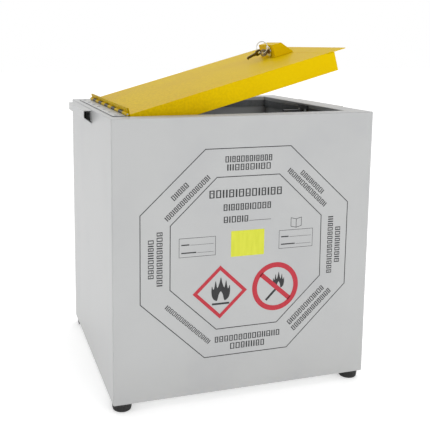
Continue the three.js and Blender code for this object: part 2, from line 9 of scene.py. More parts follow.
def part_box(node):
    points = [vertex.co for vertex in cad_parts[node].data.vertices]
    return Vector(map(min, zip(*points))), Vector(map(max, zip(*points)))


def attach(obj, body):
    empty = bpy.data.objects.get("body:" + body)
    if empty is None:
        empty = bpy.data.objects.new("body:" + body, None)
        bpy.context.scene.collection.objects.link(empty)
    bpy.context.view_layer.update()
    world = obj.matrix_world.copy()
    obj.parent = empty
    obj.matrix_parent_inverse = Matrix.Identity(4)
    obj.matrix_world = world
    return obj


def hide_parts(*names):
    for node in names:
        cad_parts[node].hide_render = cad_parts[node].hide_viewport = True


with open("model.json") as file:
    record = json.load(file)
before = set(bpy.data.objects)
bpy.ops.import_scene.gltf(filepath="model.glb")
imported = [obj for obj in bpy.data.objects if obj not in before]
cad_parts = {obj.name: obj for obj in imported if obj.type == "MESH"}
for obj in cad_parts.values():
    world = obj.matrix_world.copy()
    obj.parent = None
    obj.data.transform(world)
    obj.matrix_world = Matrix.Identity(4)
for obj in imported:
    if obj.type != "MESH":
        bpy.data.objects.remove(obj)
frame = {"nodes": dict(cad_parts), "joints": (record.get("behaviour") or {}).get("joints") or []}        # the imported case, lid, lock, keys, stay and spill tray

for startUp in ("Cube", "Light", "Camera"):
    if startUp in bpy.data.objects:
        bpy.data.objects.remove(bpy.data.objects[startUp])
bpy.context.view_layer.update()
rng = np.random.default_rng(14)
mm = 0.001


# places that the CAD gives

def span(node):
    low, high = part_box(node)
    return np.array(low), np.array(high)


jointCalled = {j["name"]: j for j in frame["joints"]}
pin = np.array(jointCalled["lid_hinge"]["pos_m"])
lidOpen = -math.radians(jointCalled["lid_hinge"]["range_deg"][0])
alongLid = np.array([math.cos(lidOpen), 0, math.sin(lidOpen)])
offLid = np.array([-math.sin(lidOpen), 0, math.cos(lidOpen)])
acrossLid = np.array([0, 1, 0])


def onLid(points):  # lid coordinates: along from the hinge pin, Y, and height off the pin
    points = np.asarray(points, float)
    return pin + points[..., :1] * alongLid + points[..., 1:2] * acrossLid + points[..., 2:] * offLid


deck = span("top_deck")[1][2]
caseLow, caseHigh = span("top_deck")
caseLow[2] = span("front_panel")[0][2]
sheet = 1.5 * mm


# meshes from whole arrays

def gridQuads(rows, columns, wrapRows=False, wrapColumns=False):
    # the four corners of each cell of a rows by columns grid
    rowStarts, columnStarts = np.arange(rows - (not wrapRows)), np.arange(columns - (not wrapColumns))
    a, b = np.meshgrid(rowStarts, columnStarts, indexing="ij")
    nextA, nextB = (a + 1) % rows, (b + 1) % columns
    corners = [a * columns + b, nextA * columns + b, nextA * columns + nextB, a * columns + nextB]
    return np.stack(corners, -1).reshape(-1, 4)


def putMesh(name, points, faces, material, body, smooth=True, tidy=True):
    mesh = bpy.data.meshes.new(name)
    mesh.from_pydata(np.asarray(points, float).reshape(-1, 3), [], [list(f) for f in faces])
    if tidy:  # doubled seam and pole points are merged, then every face is turned outwards
        work = bmesh.new()
        work.from_mesh(mesh)
        bmesh.ops.remove_doubles(work, verts=work.verts, dist=2e-6)
        bmesh.ops.dissolve_degenerate(work, edges=work.edges, dist=1e-7)
        bmesh.ops.recalc_face_normals(work, faces=work.faces)
        work.to_mesh(mesh)
        work.free()
    mesh.polygons.foreach_set("use_smooth", [smooth] * len(mesh.polygons))
    mesh.materials.append(material)
    piece = bpy.data.objects.new(name, mesh)
    bpy.context.scene.collection.objects.link(piece)
    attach(piece, body)
    return piece


def weightNormals(piece):
    finish = piece.modifiers.new("normals", "WEIGHTED_NORMAL")
    finish.weight = 100
    return piece


def ringOf(x0, x1, y0, y1, radius):
    # a rectangle with round corners: corner centre + radius * (cos, sin), a quarter turn at each corner
    turn = np.linspace(0, math.pi / 2, 6)
    angle = (np.arange(4)[:, None] * math.pi / 2 + turn).ravel()
    centreX = np.repeat([x1 - radius, x0 + radius, x0 + radius, x1 - radius], len(turn))
    centreY = np.repeat([y1 - radius, y1 - radius, y0 + radius, y0 + radius], len(turn))
    return np.stack([centreX + radius * np.cos(angle), centreY + radius * np.sin(angle)], -1)


def lathe(profile, at, axis, steps=64):
    # profile (radius, height) turned about the axis: at + radius * (side cos + up sin) + height * axis
    profile = np.asarray(profile, float)
    axis = np.asarray(axis, float) / np.linalg.norm(axis)
    side = np.cross(axis, [0, 1, 0] if abs(axis[1]) < 0.9 else [1, 0, 0])
    side /= np.linalg.norm(side)
    up = np.cross(axis, side)
    turn = np.arange(steps) * 2 * math.pi / steps
    around = np.cos(turn)[:, None] * side + np.sin(turn)[:, None] * up
    points = np.asarray(at) + profile[:, None, :1] * around[None] + profile[:, None, 1:] * axis
    return points, gridQuads(len(profile), steps, wrapColumns=True)


def rounded(points, radius):
    # each corner of a closed outline becomes an arc between the points where its two sides are touched
    points = np.asarray(points, float)
    before, after = np.roll(points, 1, 0) - points, np.roll(points, -1, 0) - points
    before /= np.linalg.norm(before, axis=1)[:, None]
    after /= np.linalg.norm(after, axis=1)[:, None]
    half = np.arccos(np.clip((before * after).sum(1), -1, 1)) / 2
    reach = (radius / np.tan(half))[:, None]
    start, end = points + before * reach, points + after * reach
    t = np.linspace(0, 1, 4)[None, :, None]
    arc = (1 - t) ** 2 * start[:, None] + 2 * t * (1 - t) * points[:, None] + t ** 2 * end[:, None]
    return arc.reshape(-1, points.shape[1])


def carried(section, path):
    # a closed section (n, 2) carried along frames (origin, first, second): origin + a * first + b * second
    section = np.asarray(section, float)
    origin, first, second = (np.asarray(p, float) for p in path)
    return origin[:, None] + section[None, :, :1] * first[:, None] + section[None, :, 1:] * second[:, None]


def capped(rows, columns):  # side quads of a carried closed section, and its two end faces
    return [list(q) for q in gridQuads(rows, columns, wrapColumns=True)] + [
        list(range(columns)), list(range((rows - 1) * columns, rows * columns))]


# colours and shader nodes

def linear(hexColour):
    value = np.array([int(hexColour[i:i + 2], 16) for i in (1, 3, 5)]) / 255
    value = np.where(value <= 0.04045, value / 12.92, ((value + 0.055) / 1.055) ** 2.4)
    return (*value.tolist(), 1.0)


nodeKinds = {  # short name: Blender's node, and the output that is used
    "where": ("ShaderNodeTexCoord", "Object"), "mapping": ("ShaderNodeMapping", 0),
    "noise": ("ShaderNodeTexNoise", 0), "cells": ("ShaderNodeTexVoronoi", "Color"),
    "ramp": ("ShaderNodeValToRGB", "Color"), "bump": ("ShaderNodeBump", 0),
    "range": ("ShaderNodeMapRange", 0), "math": ("ShaderNodeMath", 0), "mix": ("ShaderNodeMix", 2),
    "vector": ("ShaderNodeVectorMath", "Value"), "split": ("ShaderNodeSeparateXYZ", "Z"),
    "splitColour": ("ShaderNodeSeparateColor", 0), "smooth": ("GeometryNodeSetShadeSmooth", 0),
}
rgba = {"data_type": "RGBA"}


def wire(node, **inputs):
    # sets or links a node's inputs: n6 is input 6, and "_" stands for a space in a name
    for key, value in inputs.items():
        socket = node.inputs[int(key[1:])] if key[1:].isdigit() else node.inputs[key.replace("_", " ")]
        if isinstance(value, bpy.types.NodeSocket):
            node.id_data.links.new(value, socket)
        else:
            socket.default_value = value


def add(tree, kind, settings=None, **inputs):
    # adds a node and gives back the output that is used; stops are (position, hex colour or grey level)
    name, output = nodeKinds[kind]
    node = tree.nodes.new(name)
    settings = dict(settings or {})
    output = settings.pop("output", output)
    stops = settings.pop("stops", [])
    for key, value in settings.items():
        setattr(node, key, value)
    wire(node, **inputs)
    if stops:
        band = node.color_ramp
        while len(band.elements) < len(stops):
            band.elements.new(0.5)
        for element, (place, colour) in zip(band.elements, stops):
            element.position = place
            element.color = linear(colour) if isinstance(colour, str) else (colour, colour, colour, 1)
    return node.outputs[output]


def startMaterial(name):
    material = bpy.data.materials.new(name)
    material.use_nodes = True
    tree = material.node_tree
    return material, tree, tree.nodes["Principled BSDF"], add(tree, "where")


coat = {  # sizes in mm: cloud of tone, specks, dust and the painted peel shade, and how much of each
    "cloud": 130, "speck": 1.6, "speckMix": 0.16, "glossSpread": 0.015, "peelStrength": 0.5,
    "dust": 22, "dustFoot": 15, "dustTop": 110, "dustTone": "#9c968a",
    "peelShadeTone": "#a88400", "peelShadeLeft": -180, "peelShadeRight": 80, "peelShadeLeast": 0.15,
}


def powderCoat(name, finish):
    # Polyester powder baked on sheet steel: a satin skin, fine orange peel, cloudy in tone, dustier low down,
    # with painted shade between the peel lumps where asked.
    material, tree, shader, where = startMaterial(name)
    peel, paintedPeelShade, rough = finish["peel"] * mm, finish["paintedPeelShade"], finish["roughness"]
    cloud = add(tree, "noise", Vector=where, Scale=1 / (coat["cloud"] * mm), Detail=3, Roughness=0.5)
    tones = [(0.3, finish["deep"]), (0.5, finish["tone"]), (0.72, finish["pale"])]
    colour = add(tree, "ramp", {"stops": tones}, n0=cloud)
    grit = add(tree, "noise", Vector=where, Scale=1 / (coat["speck"] * mm), Detail=1, Roughness=0.5)
    speck = add(tree, "ramp", {"stops": [(0.70, 0.0), (0.76, 1.0)]}, n0=grit)
    share = add(tree, "math", {"operation": "MULTIPLY"}, n0=speck, n1=coat["speckMix"])
    colour = add(tree, "mix", rgba, n0=share, n6=colour, n7=linear(finish["deep"]))
    if paintedPeelShade:  # painted shade: colour made darker between the lumps of a coarse peel, mostly towards the hinge, standing in for the light and shade the peel shows
        side = add(tree, "split", {"output": "X"}, Vector=where)
        peelShadeFade = add(tree, "range", Value=side, n1=coat["peelShadeLeft"] * mm, n2=coat["peelShadeRight"] * mm,
                   n3=paintedPeelShade, n4=coat["peelShadeLeast"] * paintedPeelShade)
        lump = add(tree, "noise", Vector=where, Scale=1 / (1.3 * peel), Detail=2, Roughness=0.5)
        lumps = add(tree, "ramp", {"stops": [(0.40, 1.0), (0.60, 0.0)]}, n0=lump)
        thin = add(tree, "math", {"operation": "MULTIPLY"}, n0=lumps, n1=peelShadeFade)
        # the darker tone mixed in here is painted shade between the peel lumps
        colour = add(tree, "mix", rgba, n0=thin, n6=colour, n7=linear(coat["peelShadeTone"]))
    height = add(tree, "split", Vector=where)
    low = add(tree, "range", Value=height, n1=coat["dustFoot"] * mm, n2=coat["dustTop"] * mm,
              n3=finish["dusty"], n4=0.0)
    drift = add(tree, "noise", Vector=where, Scale=1 / (coat["dust"] * mm), Detail=5, Roughness=0.7)
    dust = add(tree, "math", {"operation": "MULTIPLY"}, n0=low, n1=drift)
    colour = add(tree, "mix", rgba, n0=dust, n6=colour, n7=linear(coat["dustTone"]))
    gloss = add(tree, "range", Value=cloud, n1=0.25, n2=0.75,
                n3=rough - coat["glossSpread"], n4=rough + coat["glossSpread"])
    skin = add(tree, "noise", Vector=where, Scale=1 / peel, Detail=1.5, Roughness=0.4)
    skin = add(tree, "bump", Height=skin, Distance=finish["peelDepth"] * mm, Strength=coat["peelStrength"])
    wire(shader, Base_Color=colour, Roughness=gloss, Normal=skin, IOR=1.5)
    wire(shader, Specular_IOR_Level=finish["specular"])
    return material


# light grey satin coat; its peel is 1.5 mm lumps, drawn at 2.4 mm so that it shows
greyCoat = powderCoat("greyPowderCoat", {
    "tone": "#b8b9b9", "pale": "#babbbb", "deep": "#b4b5b6", "roughness": 0.34, "peel": 2.4,
    "peelDepth": 0.05, "dusty": 0.12, "paintedPeelShade": 0.0, "specular": 0.4})
# signal yellow coat with a coarser, deeper peel, which breaks its reflections up; the peel's shade is also
# painted in, darker between the lumps towards the hinge
yellowCoat = powderCoat("yellowPowderCoat", {
    "tone": "#e0bd00", "pale": "#e3c200", "deep": "#dcb700", "roughness": 0.40, "peel": 3.6,
    "peelDepth": 0.22, "dusty": 0.0, "paintedPeelShade": 0.28, "specular": 0.03})


def platedSteel(name, bright, dull, tint, roughness, lump, scratch):
    # Zinc plate and passivate on steel: bluish silver with faint straw clouds and short handling scratches.
    material, tree, shader, where = startMaterial(name)
    cloud = add(tree, "noise", Vector=where, Scale=1 / (lump * mm), Detail=4, Roughness=0.6)
    straw = add(tree, "noise", Vector=where, Scale=1 / (2.3 * lump * mm), Detail=2, Roughness=0.5)
    colour = add(tree, "ramp", {"stops": [(0.3, dull), (0.7, bright)]}, n0=cloud)
    veil = add(tree, "ramp", {"stops": [(0.45, 0.0), (0.75, 0.45)]}, n0=straw)
    colour = add(tree, "mix", rgba, n0=veil, n6=colour, n7=linear(tint))
    drawn = add(tree, "mapping", Vector=where, Scale=(0.07, 1, 1))
    lines = add(tree, "noise", Vector=drawn, Scale=1 / (0.9 * mm), Detail=2, Roughness=0.6)
    rough = add(tree, "range", Value=cloud, n1=0.2, n2=0.8, n3=roughness - 0.07, n4=roughness + 0.1)
    skin = add(tree, "bump", Height=lines, Distance=scratch * mm, Strength=0.35)
    wire(shader, Base_Color=colour, Roughness=rough, Normal=skin, Metallic=1)
    return material


zincPlate = platedSteel("zincPlatedSteel", "#c4c8ca", "#a2a7aa", "#b9b08c", 0.34, 11, 0.02)
blackZinc = platedSteel("blackPassivatedSteel", "#6a6c6e", "#45474a", "#6a6450", 0.42, 11, 0.02)
nickelKey = platedSteel("nickelPlatedKey", "#8f8472", "#544b40", "#7a6846", 0.30, 5, 0.02)


def galvanised():
    # Hot-dip galvanised sheet: zinc crystals (spangle) 8 mm across, each with its own tone and gloss.
    material, tree, shader, where = startMaterial("galvanisedSteel")
    crystal = add(tree, "cells", Vector=where, Scale=1 / (8 * mm))
    tone = add(tree, "splitColour", Color=crystal)
    shine = add(tree, "splitColour", {"output": 1}, Color=crystal)
    colour = add(tree, "ramp", {"stops": [(0.0, "#9ba1a5"), (1.0, "#c3c8cb")]}, n0=tone)
    rough = add(tree, "range", Value=shine, n3=0.28, n4=0.5)
    drawn = add(tree, "mapping", Vector=where, Scale=(1, 0.2, 1))
    feather = add(tree, "noise", Vector=drawn, Scale=1 / (1.2 * mm), Detail=3, Roughness=0.6)
    skin = add(tree, "bump", Height=feather, Distance=0.02 * mm, Strength=0.3)
    wire(shader, Base_Color=colour, Roughness=rough, Normal=skin, Metallic=1)
    return material


spangle = galvanised()


def plainMetal(name, colour, other, roughness, lump, depth):
    # Turned or tumbled metal: even colour, breath of tarnish, very fine turning marks.
    material, tree, shader, where = startMaterial(name)
    cloud = add(tree, "noise", Vector=where, Scale=1 / (lump * mm), Detail=3, Roughness=0.5)
    tone = add(tree, "ramp", {"stops": [(0.35, other), (0.65, colour)]}, n0=cloud)
    rough = add(tree, "range", Value=cloud, n1=0.3, n2=0.7, n3=roughness + 0.06, n4=roughness)
    marks = add(tree, "noise", Vector=where, Scale=1 / (0.5 * mm), Detail=2, Roughness=0.5)
    skin = add(tree, "bump", Height=marks, Distance=depth * mm, Strength=0.25)
    wire(shader, Base_Color=tone, Roughness=rough, Normal=skin, Metallic=1)
    return material


# bare steel, made dark so that the case's hinge knuckles stand for the shade in the gaps of the yellow hinge:
# painted shade
shadeDarkBareSteel = plainMetal("bareSteelDarkForHingeShade", "#4a463f", "#2f2c28", 0.42, 5, 0.02)
chromePlate = plainMetal("chromePlatedBrass", "#dcdcde", "#c2c4c8", 0.10, 6, 0.006)
turnedBrass = plainMetal("turnedBrass", "#c9a049", "#a9803a", 0.24, 4, 0.012)


def mouldedGrain(name, tone, worn, roughness, grain, depth, dust):
    # Moulded or pressed stuff: close fine grain, scuffed paler in patches, a little dust in the grain.
    material, tree, shader, where = startMaterial(name)
    wear = add(tree, "noise", Vector=where, Scale=1 / (9 * mm), Detail=5, Roughness=0.65)
    colour = add(tree, "ramp", {"stops": [(0.40, tone), (0.78, worn)]}, n0=wear)
    grit = add(tree, "noise", Vector=where, Scale=1 / (1.1 * mm), Detail=2, Roughness=0.5)
    specks = add(tree, "ramp", {"stops": [(0.62, 0.0), (0.72, dust)]}, n0=grit)
    colour = add(tree, "mix", rgba, n0=specks, n6=colour, n7=linear("#6d6962"))
    rough = add(tree, "range", Value=wear, n3=roughness - 0.1, n4=roughness + 0.12)
    close = add(tree, "noise", Vector=where, Scale=1 / (grain * mm), Detail=3, Roughness=0.5)
    skin = add(tree, "bump", Height=close, Distance=depth * mm, Strength=0.6)
    wire(shader, Base_Color=colour, Roughness=rough, Normal=skin)
    return material


footRubber = mouldedGrain("mouldedRubber", "#161617", "#2b2a29", 0.62, 0.9, 0.08, 0.35)
knobPlastic = mouldedGrain("mouldedPhenolic", "#101011", "#1c1c1d", 0.40, 0.7, 0.05, 0.12)
graphiteStrip = mouldedGrain("graphiteStrip", "#6c6e70", "#828486", 0.85, 0.8, 0.15, 0.3)


def mineralBoard():
    # Pressed mineral fibre: buff mat of crossing fibres 1.6 mm thick as drawn, with darker shot specks.
    material, tree, shader, where = startMaterial("mineralFibreBoard")
    strands = []
    for stretch in ((0.12, 1, 1), (1, 0.12, 1)):
        drawn = add(tree, "mapping", Vector=where, Scale=stretch)
        strands.append(add(tree, "noise", Vector=drawn, Scale=1 / (1.6 * mm), Detail=5, Roughness=0.7))
    fibre = add(tree, "math", {"operation": "MAXIMUM"}, n0=strands[0], n1=strands[1])
    buff = [(0.40, "#a89a7d"), (0.60, "#cfc4a8"), (0.8, "#e0d8c2")]
    colour = add(tree, "ramp", {"stops": buff}, n0=fibre)
    lump = add(tree, "noise", Vector=where, Scale=1 / (2.2 * mm), Detail=1, Roughness=0.5)
    shot = add(tree, "ramp", {"stops": [(0.70, 0.0), (0.74, 0.6)]}, n0=lump)
    colour = add(tree, "mix", rgba, n0=shot, n6=colour, n7=linear("#6b5f4a"))
    skin = add(tree, "bump", Height=fibre, Distance=0.6 * mm, Strength=0.8)
    wire(shader, Base_Color=colour, Roughness=0.95, Normal=skin)
    return material


fibreBoard = mineralBoard()


def printInk(name, tone, worn, roughness):
    # Screen-printed film: flat ink, faintly streaked by the squeegee.
    material, tree, shader, where = startMaterial(name)
    drawn = add(tree, "mapping", Vector=where, Scale=(1, 1, 0.15))
    streak = add(tree, "noise", Vector=drawn, Scale=1 / (6 * mm), Detail=3, Roughness=0.6)
    colour = add(tree, "ramp", {"stops": [(0.35, tone), (0.75, worn)]}, n0=streak)
    rough = add(tree, "range", Value=streak, n3=roughness, n4=roughness + 0.1)
    film = add(tree, "noise", Vector=where, Scale=1 / (2 * mm), Detail=1, Roughness=0.5)
    skin = add(tree, "bump", Height=film, Distance=0.02 * mm, Strength=0.3)
    wire(shader, Base_Color=colour, Roughness=rough, Normal=skin)
    return material


inkBlack = printInk("blackInk", "#1b1c1e", "#26272a", 0.45)
inkRed = printInk("redInk", "#b3172b", "#bd2036", 0.40)
inkLime = printInk("limeInk", "#cdd12a", "#d6d93a", 0.40)
print("materials:", len(bpy.data.materials))


# camera, light and floor

camera = {  # mm and degrees
    "at": (-476.3, -1309.7, 652.8), "yaw": 16.048, "pitch": -8.137, "roll": 0.124,
    "lens": 56.4, "sensor": 36, "shift": (0.1233, -0.1744), "nearest": 10,
}


def addCamera():
    yaw, pitch, roll = (math.radians(camera[k]) for k in ("yaw", "pitch", "roll"))
    forward = np.array([math.sin(yaw) * math.cos(pitch), math.cos(yaw) * math.cos(pitch), math.sin(pitch)])
    level = np.array([math.cos(yaw), -math.sin(yaw), 0])
    upright = np.cross(level, forward)
    across = math.cos(roll) * level + math.sin(roll) * upright
    upwards = np.cross(across, forward)
    eye = bpy.data.objects.new("camera", bpy.data.cameras.new("camera"))
    place = np.eye(4)
    place[:3, 0], place[:3, 1], place[:3, 2] = across, upwards, -forward
    place[:3, 3] = np.array(camera["at"]) * mm
    eye.matrix_world = Matrix(place.tolist())
    eye.data.lens, eye.data.sensor_width = camera["lens"], camera["sensor"]
    eye.data.shift_x, eye.data.shift_y = camera["shift"]
    eye.data.clip_start = camera["nearest"] * mm
    bpy.context.scene.collection.objects.link(eye)
    bpy.context.scene.camera = eye


def addLight(name, place, size, power):
    lamp = bpy.data.lights.new(name, "AREA")
    lamp.shape, lamp.size, lamp.size_y = "RECTANGLE", size[0], size[1]
    lamp.energy = power
    shown = bpy.data.objects.new(name, lamp)
    shown.location = place
    aim = Vector((0, 0, 0.3)) - Vector(place)  # every lamp faces the middle of the box
    shown.rotation_euler = aim.to_track_quat("-Z", "Y").to_euler()
    bpy.context.scene.collection.objects.link(shown)


room = {"reach": 14.0, "glow": 0.40, "dim": 0.42, "facing": (0.65, 1.0, 0.0), "from": -0.6, "to": 0.1}


def addRoom():
    material, tree, shader, where = startMaterial("paleFloor")
    patch = add(tree, "noise", Vector=where, Scale=1 / 0.5, Detail=3, Roughness=0.5)
    tone = add(tree, "ramp", {"stops": [(0.3, "#f4f4f4"), (0.7, "#f8f8f8")]}, n0=patch)
    wire(shader, Base_Color=tone, Roughness=0.9, Emission_Color=(1, 1, 1, 1), Emission_Strength=room["glow"])
    mesh = bpy.data.meshes.new("floor")
    reach = room["reach"]
    corners = [(x * reach, y * reach, 0) for x, y in ((-1, -1), (1, -1), (1, 1), (-1, 1))]
    mesh.from_pydata(corners, [], [(0, 1, 2, 3)])
    mesh.materials.append(material)
    floor = bpy.data.objects.new("floor", mesh)
    bpy.context.scene.collection.objects.link(floor)
    world = bpy.data.worlds.new("studio")
    world.use_nodes = True
    sky = world.node_tree  # white behind the object, a greyer room behind the camera and to its left
    facing = add(sky, "vector", {"operation": "DOT_PRODUCT"}, n0=add(sky, "where", {"output": "Generated"}),
                 n1=room["facing"])
    shade = add(sky, "range", Value=facing, n1=room["from"], n2=room["to"])
    shade = add(sky, "ramp", {"stops": [(0.0, room["dim"]), (1.0, 1.0)]}, n0=shade)
    wire(sky.nodes["Background"], Color=shade)
    bpy.context.scene.world = world
    bpy.context.scene.view_settings.view_transform = "Standard"


addCamera()
addRoom()
addLight("softboxLeft", (-2.5, -1.0, 0.5), (1.6, 0.9), 3)
addLight("softboxFront", (0.5, -3.0, 1.6), (2.2, 1.8), 24)
addLight("softboxTop", (0.1, 0.6, 2.8), (2.4, 2.4), 6)
print("camera and lights")


# CAD solids that keep their shape: softened edges and a finish of their own

def smoothGroup():
    # shades every face smooth, so that the weighted normals after the bevel keep flats flat and rounds round
    group = bpy.data.node_groups.new("smoothFaces", "GeometryNodeTree")
    for way in ("INPUT", "OUTPUT"):
        group.interface.new_socket("Geometry", in_out=way, socket_type="NodeSocketGeometry")
    source = group.nodes.new("NodeGroupInput")
    result = group.nodes.new("NodeGroupOutput")
    group.links.new(add(group, "smooth", n0=source.outputs[0]), result.inputs[0])
    return group


smoothFaces = smoothGroup()


softEdge = {"segments": 2, "angle": 35, "flat": 0.5}  # angles in degrees


def softened(piece, width, weld=True):
    if weld:
        merge = piece.modifiers.new("merge", "WELD")
        merge.merge_threshold = 5e-6
        clean = piece.modifiers.new("flats", "DECIMATE")
        clean.decimate_type, clean.angle_limit = "DISSOLVE", math.radians(softEdge["flat"])
    smooth = piece.modifiers.new("smooth", "NODES")
    smooth.node_group = smoothFaces
    bevel = piece.modifiers.new("edges", "BEVEL")
    bevel.width, bevel.segments, bevel.limit_method = width, softEdge["segments"], "ANGLE"
    bevel.angle_limit = math.radians(softEdge["angle"])
    bevel.use_clamp_overlap = True
    weightNormals(piece)


def mergedCopy(name, node, material, body, radius):
    # the CAD solid's triangles joined at their corners, with every flat made one face
    work = bmesh.new()
    work.from_mesh(frame["nodes"][node].data)
    bmesh.ops.remove_doubles(work, verts=work.verts, dist=8e-6)
    bmesh.ops.dissolve_limit(work, angle_limit=math.radians(1), verts=work.verts, edges=work.edges)
    bmesh.ops.recalc_face_normals(work, faces=work.faces)
    points = [tuple(v.co) for v in work.verts]
    faces = [[v.index for v in f.verts] for f in work.faces]
    work.free()
    piece = putMesh(name, points, faces, material, body, smooth=True, tidy=False)
    softened(piece, radius * mm, weld=False)
    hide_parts(node)


kept = {  # node: material, edge radius in mm
    "lid_lip": (yellowCoat, 0.6), "lock_hood": (yellowCoat, 1.1), "lid_inner_pan": (greyCoat, 0.4),
    "grip_left": (greyCoat, 0.6), "grip_right": (greyCoat, 0.6), "liner_front": (greyCoat, 0.4),
    "liner_back": (greyCoat, 0.4), "liner_left": (greyCoat, 0.4), "liner_right": (greyCoat, 0.4),
    "liner_floor": (greyCoat, 0.4), "base_plate": (greyCoat, 0.4), "spill_tray": (spangle, 0.4),
    "stay_quadrant": (zincPlate, 0.4), "stay_washer": (zincPlate, 0.4), "stay_stud": (zincPlate, 0.4),
    "keeper": (blackZinc, 0.6), "hook_cam": (zincPlate, 0.4), "lock_nut": (zincPlate, 0.4),
    "hinge_pin": (zincPlate, 0.3), "lock_barrel": (chromePlate, 0.5), "lock_plug": (turnedBrass, 0.3),
    "key": (nickelKey, 0.3), "spare_key": (nickelKey, 0.3), "stay_knob": (knobPlastic, 0.9),
}
kept.update({n: (fibreBoard, 0.6) for n in frame["nodes"] if n.endswith("insulation")})
kept.update({n: (graphiteStrip, 0.3) for n in frame["nodes"] if n.startswith("seal_")})
for node, (material, radius) in kept.items():
    frame["nodes"][node].material_slots[0].material = material
    softened(frame["nodes"][node], radius * mm)
mergedCopy("lid_skin", "lid_shell", yellowCoat, "lid", 0.7)
print("CAD solids finished:", len(kept) + 1)


# outer case: one bent and welded sheet

caseSheet = {  # mm; the last is arc steps
    "cornerBend": 3.0, "topBend": 2.2, "mouthBend": 1.8, "mouthCorner": 2.5, "inkRoom": 0.25, "hem": 0.6,
    "sealGap": 0.3, "collar": 25, "leastBend": 0.3, "steps": 7,
}


def caseShell():
    # rings of round-cornered rectangles: up the outside, over the deck, down the mouth, back inside the sheet
    c = {k: v * mm for k, v in caseSheet.items()}
    low, high = caseLow.copy(), caseHigh.copy()
    low[1] += c["inkRoom"]
    sealLow, sealHigh = span("seal_front")[0], span("seal_back")[1]
    gap, top, lip = c["sealGap"], c["topBend"], c["mouthBend"]
    mouth = (sealLow[0] - gap, sealHigh[0] + gap, sealLow[1] - gap, sealHigh[1] + gap)
    collarFoot = deck - c["collar"]
    turn = np.linspace(0, math.pi / 2, caseSheet["steps"])

    def outer(inset):
        bend = max(c["cornerBend"] - inset, c["leastBend"])
        return ringOf(low[0] + inset, high[0] - inset, low[1] + inset, high[1] - inset, bend)

    def inner(grow):
        bend = c["mouthCorner"] + grow
        return ringOf(mouth[0] - grow, mouth[1] + grow, mouth[2] - grow, mouth[3] + grow, bend)

    rows = [(outer(c["hem"]), low[2]), (outer(0.2 * c["hem"]), low[2] + 0.2 * c["hem"])]
    rows += [(outer(0), low[2] + c["hem"])]
    rows += [(outer(top * (1 - math.cos(t))), deck - top * (1 - math.sin(t))) for t in turn]
    rows += [(inner(lip * (1 - math.sin(t))), deck - lip * (1 - math.cos(t))) for t in turn]
    rows += [(inner(0), collarFoot), (inner(sheet), collarFoot), (inner(sheet), deck - lip)]
    rows += [(inner(sheet + lip * 0.4), deck - sheet), (outer(sheet + top * 0.4), deck - sheet)]
    rows += [(outer(sheet), deck - top), (outer(sheet), low[2])]
    points = np.stack([np.column_stack([ring, np.full(len(ring), z)]) for ring, z in rows])
    faces = gridQuads(*points.shape[:2], True, True)
    shell = putMesh("case_shell", points, faces, greyCoat, "case")
    weightNormals(shell)
    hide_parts("front_panel", "back_panel", "left_panel", "right_panel", "top_deck")
    return low[1]


frontFace = caseShell()
print("case shell")


# carrying grips: weld beads between the folded rails and the case

weldBead = {  # mm, but for the count of stations
    "radius": 1.3, "ripple": 2.6, "depth": 0.22, "runIn": 2.5, "perBead": 150,
    "fromTop": 0.9, "fromFoot": 1.4, "fromEnd": 2,
}


def bead(name, start, end, normalA, normalB, body):
    # a half-round bead along start to end; its radius swells by depth * |sin| once per ripple
    w = weldBead
    t = np.linspace(0, 1, w["perBead"])
    length = np.linalg.norm(np.subtract(end, start)) / mm
    swell = w["radius"] - w["depth"] * (1 - np.abs(np.sin(math.pi * t * length / w["ripple"])))
    swell *= np.clip(np.minimum(t, 1 - t) * length / w["runIn"], 0.02, 1) ** 0.5
    around = np.linspace(0, 2 * math.pi, 13)[:-1]
    spine = np.array(start) + t[:, None] * np.subtract(end, start)
    ring = np.cos(around)[:, None] * np.array(normalA) + np.sin(around)[:, None] * np.array(normalB)
    points = spine[:, None] + (swell[:, None, None] * mm) * ring[None]
    return putMesh(name, points, capped(len(t), 12), greyCoat, body)


for side, node in ((-1, "grip_left"), (1, "grip_right")):
    low, high = span(node)
    x = side * caseHigh[0]
    near, far = low[1] + weldBead["fromEnd"] * mm, high[1] - weldBead["fromEnd"] * mm
    levels = {"top": high[2] - weldBead["fromTop"] * mm, "foot": low[2] + weldBead["fromFoot"] * mm}
    for place, z in levels.items():
        start, end = (x, near, z), (x, far, z)
        bead(f"weld_{place}_{node[5:]}", start, end, (side, 0, 0), (0, 0, 1), "case")
print("grip welds")


# rubber feet and their screws

foot = {  # mm
    "radius": 18.5, "taper": 1.5, "round": 2.0, "groove": 0.7, "well": 7.0, "wellRadius": 7.0, "bore": 3.3,
    "grooves": (5.2, 8.0, 10.8),
}


